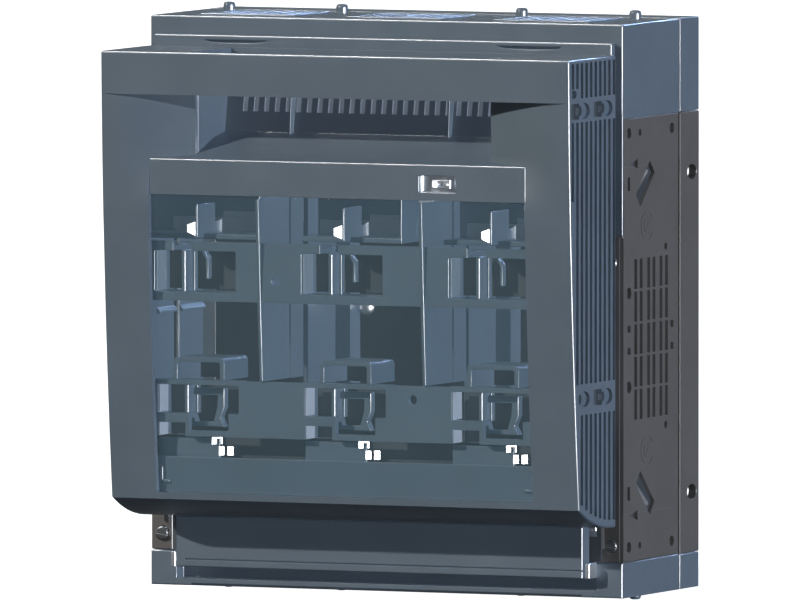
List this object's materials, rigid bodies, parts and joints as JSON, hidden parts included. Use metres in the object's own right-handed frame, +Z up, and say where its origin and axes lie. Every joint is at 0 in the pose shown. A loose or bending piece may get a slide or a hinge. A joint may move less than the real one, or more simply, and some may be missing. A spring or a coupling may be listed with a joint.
{
  "type": "fuse switch-disconnector",
  "caption": "Panel-mounted fuse switch-disconnector with a window cover that swings forward on a bottom hinge, a top hand grip, and forked contacts behind it.",
  "frame": {"origin": "centre of the rear mounting face, on the rear frame's middle rib", "axes": "+X to the right seen from the front, +Y back into the panel, +Z up"},
  "size_m": [0.256, 0.161, 0.2934],
  "materials": {
    "shell_plastic": "satin moulded, blue-grey",
    "base_plastic": "satin moulded, dark grey",
    "carrier_plastic": "satin moulded, blue-grey",
    "window_clear": "clear polycarbonate with a faint teal tint",
    "contact_metal": "silver-plated copper",
    "steel": "zinc-plated steel"
  },
  "bodies": {
    "base": {"rear_frame": "base_plastic", "rear_top_shroud": "shell_plastic", "rear_bottom_shroud": "shell_plastic", "base_housing": "base_plastic", "phase_barrier_left": "base_plastic", "phase_barrier_right": "base_plastic", "side_cover_left": "base_plastic", "side_cover_right": "base_plastic", "side_cover_screw_left_upper": "steel", "side_cover_screw_left_lower": "steel", "side_cover_screw_right_upper": "steel", "side_cover_screw_right_lower": "steel", "top_terminal_cover": "shell_plastic", "top_cover_lid": "shell_plastic", "cable_grille_top_1": "shell_plastic", "cable_grille_top_2": "shell_plastic", "cable_grille_top_3": "shell_plastic", "bottom_terminal_cover": "shell_plastic", "hinge_bracket_left": "steel", "hinge_bracket_right": "steel", "contact_jaw_upper_1": "contact_metal", "contact_jaw_lower_1": "contact_metal", "jaw_spring_upper_1": "steel", "jaw_spring_lower_1": "steel", "terminal_bolt_upper_1": "steel", "terminal_bolt_lower_1": "steel", "arc_chute_1": "steel", "contact_jaw_upper_2": "contact_metal", "contact_jaw_lower_2": "contact_metal", "jaw_spring_upper_2": "steel", "jaw_spring_lower_2": "steel", "terminal_bolt_upper_2": "steel", "terminal_bolt_lower_2": "steel", "arc_chute_2": "steel", "contact_jaw_upper_3": "contact_metal", "contact_jaw_lower_3": "contact_metal", "jaw_spring_upper_3": "steel", "jaw_spring_lower_3": "steel", "terminal_bolt_upper_3": "steel", "terminal_bolt_lower_3": "steel", "arc_chute_3": "steel"},
    "swing_cover": {"cover_frame": "shell_plastic", "grip_pan": "shell_plastic", "vent_grille": "shell_plastic", "window": "window_clear", "window_sill": "carrier_plastic", "carrier_upper": "carrier_plastic", "carrier_crossbar": "carrier_plastic", "carrier_lower": "carrier_plastic", "fuse_grip_1": "carrier_plastic", "fuse_grip_2": "carrier_plastic", "fuse_grip_3": "carrier_plastic", "carrier_rib_left": "carrier_plastic", "carrier_rib_right": "carrier_plastic", "hinge_apron": "shell_plastic", "lock_bezel": "steel"},
    "lock": {"lock_slide": "steel"}
  },
  "joints": [
    {"name": "cover_swing", "type": "hinge", "parent": "base", "child": "swing_cover", "pos_m": [0, -0.1006, -0.1285], "axis": [1, 0, 0], "range_deg": [0, 80]},
    {"name": "lock_slide_travel", "type": "slide", "parent": "swing_cover", "child": "lock", "axis": [1, 0, 0], "range_m": [0, 0.003]}
  ]
}
